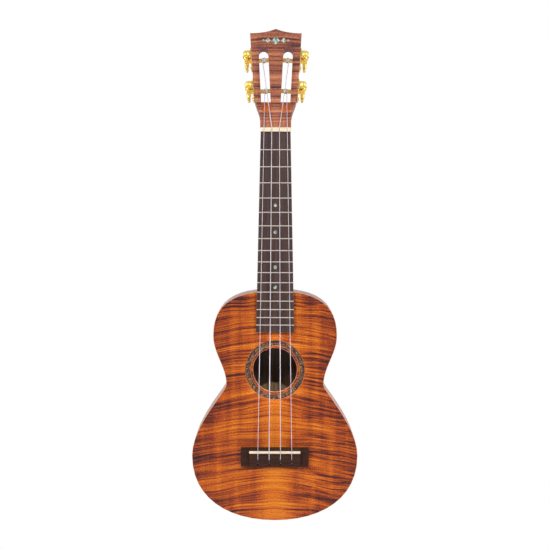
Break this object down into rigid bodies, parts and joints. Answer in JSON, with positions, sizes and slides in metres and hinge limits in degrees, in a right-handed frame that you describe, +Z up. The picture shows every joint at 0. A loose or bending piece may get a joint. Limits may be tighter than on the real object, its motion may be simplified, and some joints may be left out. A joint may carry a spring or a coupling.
{
  "type": "ukulele",
  "caption": "Concert-size ukulele: hollow figured-wood body with round sound hole, slotted headstock with open-geared tuners that turn, fretted neck and nylon strings.",
  "frame": {"origin": "on the centre line, in the plane of the soundboard's face, 20 mm above the nut's front edge, where the yoke of a wall hanger holds the instrument under its headstock", "axes": "+Z up along the neck to the headstock, -Y out of the front of the soundboard, +X to the right as seen from the front"},
  "size_m": [0.1986, 0.0787, 0.5901],
  "materials": {
    "soundboard": "gloss",
    "rosette": "gloss",
    "back_wood": "gloss",
    "side_wood": "gloss",
    "inner_spruce": "raw",
    "inner_mahogany": "raw",
    "bridge_wood": "satin",
    "saddle_bone": "satin",
    "neck_wood": "gloss",
    "heel_cap": "gloss",
    "veneer": "gloss",
    "inlay": "gloss",
    "fretboard_wood": "satin",
    "fret_metal": "polished",
    "dots": "gloss",
    "nut_bone": "satin",
    "string_nylon": "gloss",
    "gold": "polished"
  },
  "bodies": {
    "root": {"soundboard": "soundboard", "rosette": "rosette", "back_plate": "back_wood", "side_left": "side_wood", "side_right": "side_wood", "top_lining_left": "inner_spruce", "top_lining_right": "inner_spruce", "back_lining_left": "inner_spruce", "back_lining_right": "inner_spruce", "neck_block": "inner_mahogany", "tail_block": "inner_mahogany", "upper_cross_brace": "inner_spruce", "lower_cross_brace": "inner_spruce", "fan_braces": "inner_spruce", "bridge_plate": "bridge_wood", "back_braces": "inner_spruce", "bridge": "bridge_wood", "saddle": "saddle_bone", "neck": "neck_wood", "heel_cap": "heel_cap", "headstock_veneer": "veneer", "headstock_inlay": "inlay", "fretboard": "fretboard_wood", "frets": "fret_metal", "position_dots": "dots", "nut": "nut_bone", "string_1": "string_nylon", "string_2": "string_nylon", "string_3": "string_nylon", "string_4": "string_nylon", "upper_left_plate": "gold", "lower_left_plate": "gold", "upper_right_plate": "gold", "lower_right_plate": "gold", "tuner_screws": "gold"},
    "upper_left_key": {"upper_left_worm_shaft": "gold", "upper_left_button": "gold"},
    "upper_left_roller": {"upper_left_post": "gold", "upper_left_gear": "gold", "upper_left_gear_screw": "gold", "upper_left_winding": "string_nylon"},
    "lower_left_key": {"lower_left_worm_shaft": "gold", "lower_left_button": "gold"},
    "lower_left_roller": {"lower_left_post": "gold", "lower_left_gear": "gold", "lower_left_gear_screw": "gold", "lower_left_winding": "string_nylon"},
    "upper_right_key": {"upper_right_worm_shaft": "gold", "upper_right_button": "gold"},
    "upper_right_roller": {"upper_right_post": "gold", "upper_right_gear": "gold", "upper_right_gear_screw": "gold", "upper_right_winding": "string_nylon"},
    "lower_right_key": {"lower_right_worm_shaft": "gold", "lower_right_button": "gold"},
    "lower_right_roller": {"lower_right_post": "gold", "lower_right_gear": "gold", "lower_right_gear_screw": "gold", "lower_right_winding": "string_nylon"}
  },
  "joints": [
    {"name": "upper_left_key_turn", "type": "hinge", "parent": "root", "child": "upper_left_key", "pos_m": [-0.03538, 0.03124, 0.07232], "axis": [0, -0.9659, 0.2588], "continuous": true},
    {"name": "upper_left_post_turn", "type": "hinge", "parent": "root", "child": "upper_left_roller", "pos_m": [-0.02878, 0.02941, 0.06549], "axis": [-0.9977, -0.0174, -0.0651], "continuous": true},
    {"name": "lower_left_key_turn", "type": "hinge", "parent": "root", "child": "lower_left_key", "pos_m": [-0.03277, 0.02125, 0.03503], "axis": [0, -0.9659, 0.2588], "continuous": true},
    {"name": "lower_left_post_turn", "type": "hinge", "parent": "root", "child": "lower_left_roller", "pos_m": [-0.02618, 0.01942, 0.0282], "axis": [-0.9977, -0.0174, -0.0651], "continuous": true},
    {"name": "upper_right_key_turn", "type": "hinge", "parent": "root", "child": "upper_right_key", "pos_m": [0.03538, 0.03124, 0.07232], "axis": [0, -0.9659, 0.2588], "continuous": true},
    {"name": "upper_right_post_turn", "type": "hinge", "parent": "root", "child": "upper_right_roller", "pos_m": [0.02878, 0.02941, 0.06549], "axis": [0.9977, -0.0174, -0.0651], "continuous": true},
    {"name": "lower_right_key_turn", "type": "hinge", "parent": "root", "child": "lower_right_key", "pos_m": [0.03277, 0.02125, 0.03503], "axis": [0, -0.9659, 0.2588], "continuous": true},
    {"name": "lower_right_post_turn", "type": "hinge", "parent": "root", "child": "lower_right_roller", "pos_m": [0.02618, 0.01942, 0.0282], "axis": [0.9977, -0.0174, -0.0651], "continuous": true}
  ],
  "couplings": [
    {"joint": "upper_left_post_turn", "follows": "upper_left_key_turn", "ratio": 0.071429},
    {"joint": "lower_left_post_turn", "follows": "lower_left_key_turn", "ratio": 0.071429},
    {"joint": "upper_right_post_turn", "follows": "upper_right_key_turn", "ratio": 0.071429},
    {"joint": "lower_right_post_turn", "follows": "lower_right_key_turn", "ratio": 0.071429}
  ]
}
